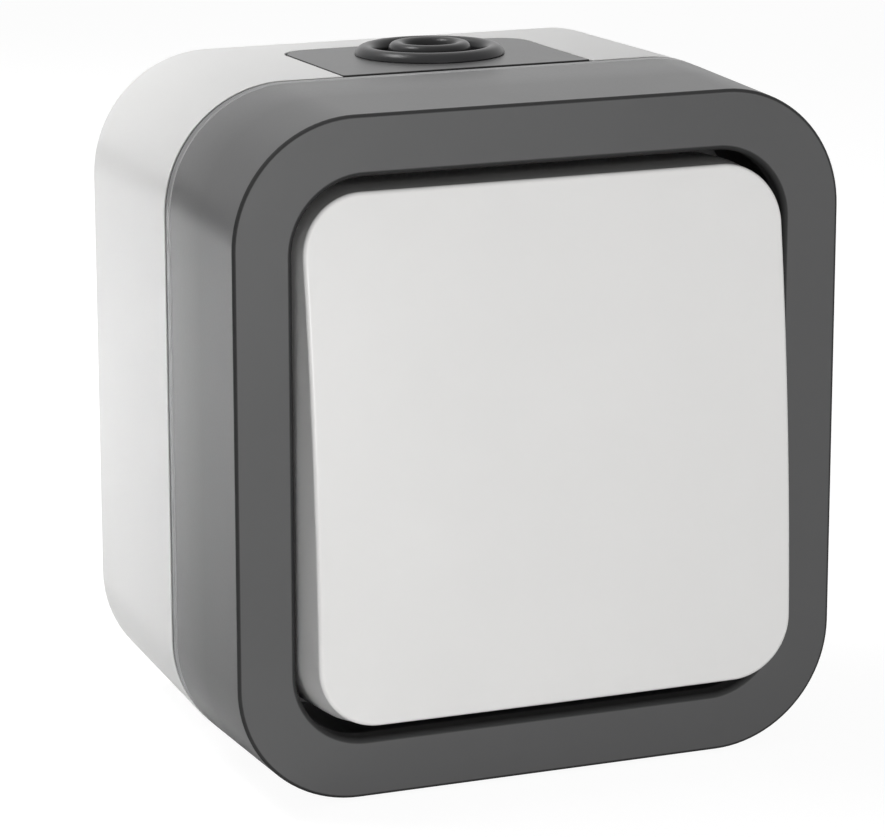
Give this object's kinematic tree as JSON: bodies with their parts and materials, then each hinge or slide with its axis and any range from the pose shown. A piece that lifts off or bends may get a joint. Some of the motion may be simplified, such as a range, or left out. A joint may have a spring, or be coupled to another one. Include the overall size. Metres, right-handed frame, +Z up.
{
  "type": "outdoor rocker switch",
  "caption": "Wall-mounted weatherproof rocker switch: a light housing and dark frame round a wide tilting rocker, with a sealed cable entry on top.",
  "frame": {"origin": "centre of the four wall fixing holes, on the plane of the wall", "axes": "-Y out of the wall through the rocker, +Z up towards the cable entry, +X to the right as seen from the front"},
  "size_m": [0.0762, 0.0585, 0.0825],
  "materials": {
    "light_plastic": "fine satin moulding",
    "dark_plastic": "fine satin moulding",
    "black_plastic": "matt",
    "black_rubber": "smooth rubber with a soft shine",
    "white_plastic": "plain",
    "cream_plastic": "plain moulding",
    "zinc_steel": "zinc plated",
    "brass": "plain",
    "contact_silver": "plain silver"
  },
  "bodies": {
    "box": {"rear_housing": "light_plastic", "entry_plate": "dark_plastic", "cable_grommet": "black_rubber", "screw_seals": "black_rubber", "housing_gasket": "black_rubber", "seal_carrier": "black_plastic", "throat_seal": "black_rubber", "front_frame": "dark_plastic", "mechanism_cover": "white_plastic", "support_plate": "zinc_steel", "mechanism_base": "cream_plastic", "common_terminal": "brass", "upper_contact_strip": "brass", "lower_contact_strip": "brass", "fixed_contacts": "contact_silver", "terminal_clamps": "brass", "terminal_screws": "zinc_steel", "mechanism_screws": "zinc_steel", "support_screws": "zinc_steel", "carrier_screws": "zinc_steel"},
    "rocker": {"rocker": "light_plastic", "rocker_cradle": "white_plastic", "plunger_spring": "zinc_steel"},
    "plunger": {"plunger": "zinc_steel"},
    "lever": {"contact_lever": "brass", "moving_contacts": "contact_silver"}
  },
  "joints": [
    {"name": "rocker_tilt", "type": "hinge", "parent": "box", "child": "rocker", "pos_m": [0, -0.04546, 0], "axis": [1, 0, 0], "range_deg": [0, 9.91]},
    {"name": "contact_rock", "type": "hinge", "parent": "box", "child": "lever", "pos_m": [0, -0.03246, 0], "axis": [1, 0, 0], "range_deg": [-19.82, 0]},
    {"name": "plunger_slide", "type": "slide", "parent": "rocker", "child": "plunger", "axis": [0, 0.9963, -0.0864], "range_m": [-0.0003, 0], "stiffness_N_per_m": 1000}
  ],
  "couplings": [
    {"joint": "contact_rock", "follows": "rocker_tilt", "ratio": -2}
  ]
}
